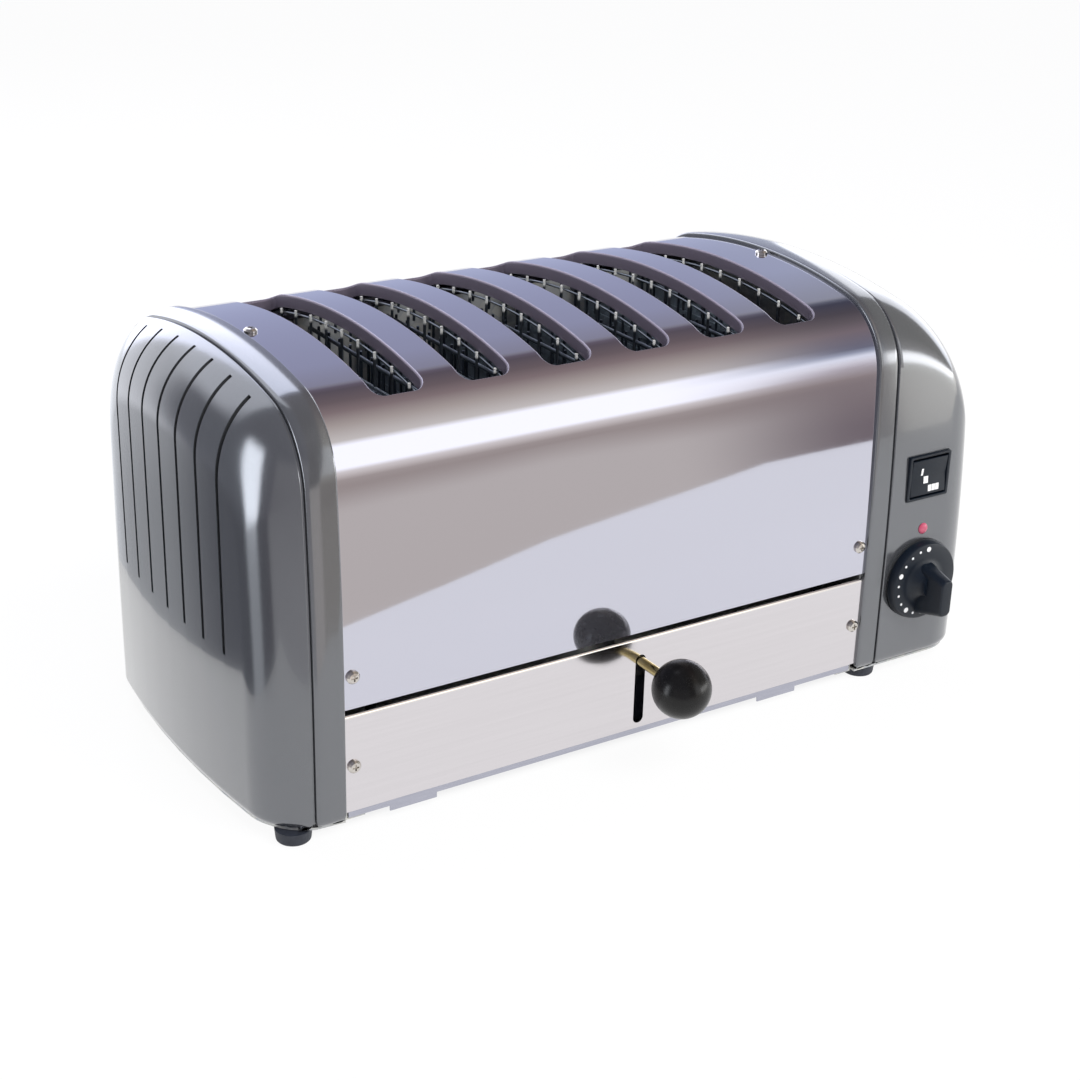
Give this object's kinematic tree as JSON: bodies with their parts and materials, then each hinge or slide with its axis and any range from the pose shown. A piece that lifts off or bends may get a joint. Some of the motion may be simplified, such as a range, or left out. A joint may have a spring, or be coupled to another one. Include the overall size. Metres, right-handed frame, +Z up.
{
  "type": "commercial pop-up toaster",
  "caption": "Long counter toaster with a polished arched body, cast ends, bread slots in a row, a front lever that lifts the racks, a timer knob, a slot selector and a crumb tray.",
  "frame": {"origin": "on the table, under the middle of the bounding box", "axes": "+X along the toaster towards the control end, -Y out of the front with the lever, +Z up"},
  "size_m": [0.458, 0.2838, 0.2338],
  "materials": {
    "cast_paint": "fine silver-grey hammered paint",
    "polished_steel": "mirror-polished stainless steel",
    "satin_steel": "satin stainless, belt-finished",
    "plated_sheet": "plated sheet",
    "plain_steel": "mill finish stainless",
    "foot_rubber": "moulded",
    "mica_board": "mica with heating ribbon",
    "steel_wire": "drawn wire",
    "lever_steel": "heat-tinted rod",
    "black_plastic": "moulded phenolic",
    "timer_case": "plated case",
    "lamp_lens": "clear red",
    "ceramic": "glazed ceramic",
    "screw_steel": "bright"
  },
  "bodies": {
    "body": {"end_casting_left": "cast_paint", "end_casting_right": "cast_paint", "body_wrap": "polished_steel", "front_lower_panel": "satin_steel", "rear_lower_panel": "satin_steel", "end_plate_left": "plated_sheet", "end_plate_right": "plated_sheet", "cage_plate_front": "plated_sheet", "cage_plate_rear": "plated_sheet", "base_cover_left": "plated_sheet", "base_cover_right": "plated_sheet", "tray_runner_left": "plated_sheet", "tray_runner_right": "plated_sheet", "foot_front_left": "foot_rubber", "foot_front_right": "foot_rubber", "foot_rear_left": "foot_rubber", "foot_rear_right": "foot_rubber", "heating_element_1": "mica_board", "heating_element_2": "mica_board", "heating_element_3": "mica_board", "heating_element_4": "mica_board", "heating_element_5": "mica_board", "heating_element_6": "mica_board", "heating_element_7": "mica_board", "guard_left_1": "steel_wire", "guard_left_2": "steel_wire", "guard_left_3": "steel_wire", "guard_left_4": "steel_wire", "guard_left_5": "steel_wire", "guard_left_6": "steel_wire", "guard_right_1": "steel_wire", "guard_right_2": "steel_wire", "guard_right_3": "steel_wire", "guard_right_4": "steel_wire", "guard_right_5": "steel_wire", "guard_right_6": "steel_wire", "guide_post_left": "steel_wire", "guide_post_right": "steel_wire", "selector_frame": "black_plastic", "cable_gland": "black_plastic", "timer_body": "timer_case", "indicator_lamp": "lamp_lens", "terminal_block": "ceramic", "top_screws": "screw_steel", "front_screws": "screw_steel", "rear_screws": "screw_steel"},
    "carriage": {"lift_bar": "plated_sheet", "lever_rod": "lever_steel", "lever_knob": "black_plastic", "bread_rack_1": "steel_wire", "bread_rack_2": "steel_wire", "bread_rack_3": "steel_wire", "bread_rack_4": "steel_wire", "bread_rack_5": "steel_wire", "bread_rack_6": "steel_wire"},
    "timer": {"timer_knob": "black_plastic", "timer_shaft": "steel_wire"},
    "selector": {"selector_rocker": "black_plastic"},
    "tray": {"crumb_tray": "plain_steel"}
  },
  "joints": [
    {"name": "carriage_lift", "type": "slide", "parent": "body", "child": "carriage", "axis": [0, 0, -1], "range_m": [0, 0.0335]},
    {"name": "timer_turn", "type": "hinge", "parent": "body", "child": "timer", "pos_m": [0.1878, -0.09112, 0.0585], "axis": [0, 1, 0], "range_deg": [0, 290]},
    {"name": "selector_rock", "type": "hinge", "parent": "body", "child": "selector", "pos_m": [0.1878, -0.08672, 0.1218], "axis": [1, 0, 0], "range_deg": [-9, 9]},
    {"name": "tray_slide", "type": "slide", "parent": "body", "child": "tray", "axis": [0, 1, 0], "range_m": [0, 0.19]}
  ]
}
